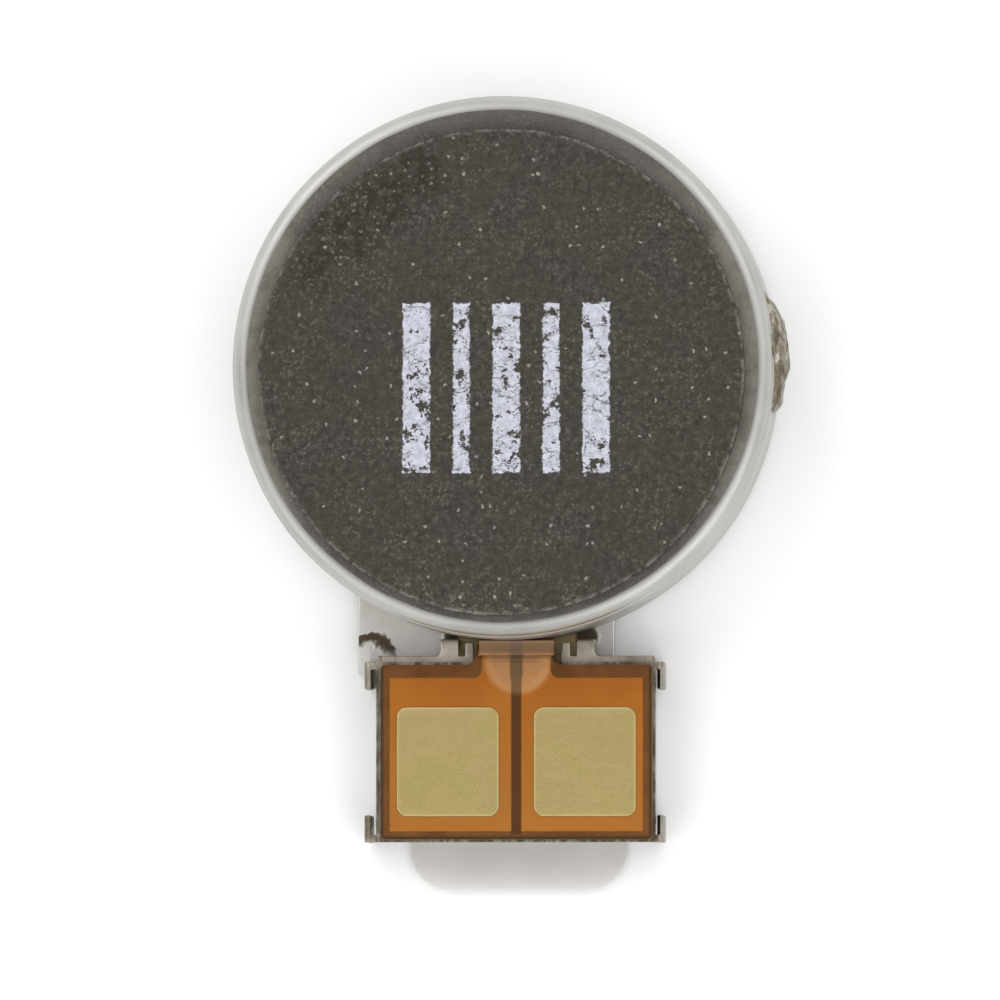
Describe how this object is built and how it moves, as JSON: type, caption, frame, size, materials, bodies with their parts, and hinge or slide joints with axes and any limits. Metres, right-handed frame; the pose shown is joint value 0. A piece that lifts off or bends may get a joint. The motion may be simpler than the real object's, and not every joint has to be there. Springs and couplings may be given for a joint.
{
  "type": "vibration coin motor",
  "caption": "Flat round vibration motor in a drawn steel case with a foam pad on top and a contact board with gold pads on a bent sheet carrier beside it.",
  "frame": {"origin": "centre of the mounting tape's underside, on the rotor's axis", "axes": "+Z out through the foam pad, along the shaft; -Y from the case towards the contact board; +X to the right seen from above with the board below"},
  "size_m": [0.0103, 0.0146, 0.0033],
  "materials": {
    "case_steel": "drawn, satin nickel plated",
    "plated_sheet": "stamped, dull nickel plated",
    "shaft_steel": "ground",
    "magnet": "nickel plated sintered magnet",
    "tungsten": "sintered tungsten alloy",
    "bronze": "oil-filled sintered bronze",
    "copper_wire": "enamelled copper winding",
    "copper_foil": "rolled copper foil",
    "gold": "matte gold plating on copper",
    "solder": "tin solder",
    "weld": "heat-browned weld metal",
    "polyimide": "amber polyimide film",
    "stiffener": "dark laminate",
    "film": "black adhesive film",
    "foam": "fine closed-cell foam",
    "tape": "clear adhesive tape",
    "sealant": "clear sealant",
    "washer": "polyester",
    "resin": "moulded resin",
    "laminate": "glass-filled laminate"
  },
  "bodies": {
    "housing": {"mounting_tape": "tape", "base_plate": "plated_sheet", "case_cup": "case_steel", "case_weld_bead": "weld", "top_film": "film", "foam_pad": "foam", "shaft": "shaft_steel", "lower_washer": "washer", "upper_washer": "washer", "ring_magnet": "magnet", "flex_film": "polyimide", "flex_coverlay": "polyimide", "contact_stiffener": "stiffener", "contact_carrier": "plated_sheet", "neck_sealant": "sealant", "copper_trace_left": "copper_foil", "copper_trace_right": "copper_foil", "contact_pad_left": "gold", "contact_pad_right": "gold", "brush_left": "gold", "brush_right": "gold", "brush_solder_left": "solder", "brush_solder_right": "solder", "arm_weld_left": "weld", "arm_weld_right": "weld"},
    "rotor": {"bearing_sleeve": "bronze", "commutator_board": "laminate", "counterweight": "tungsten", "rotor_resin": "resin", "coil_left": "copper_wire", "coil_right": "copper_wire", "commutator_segment_1": "gold", "commutator_segment_2": "gold", "commutator_segment_3": "gold", "commutator_segment_4": "gold", "commutator_segment_5": "gold", "commutator_segment_6": "gold"}
  },
  "joints": [
    {"name": "rotor_spin", "type": "hinge", "parent": "housing", "child": "rotor", "pos_m": [0, 0, 0.0014], "axis": [0, 0, 1], "continuous": true}
  ]
}
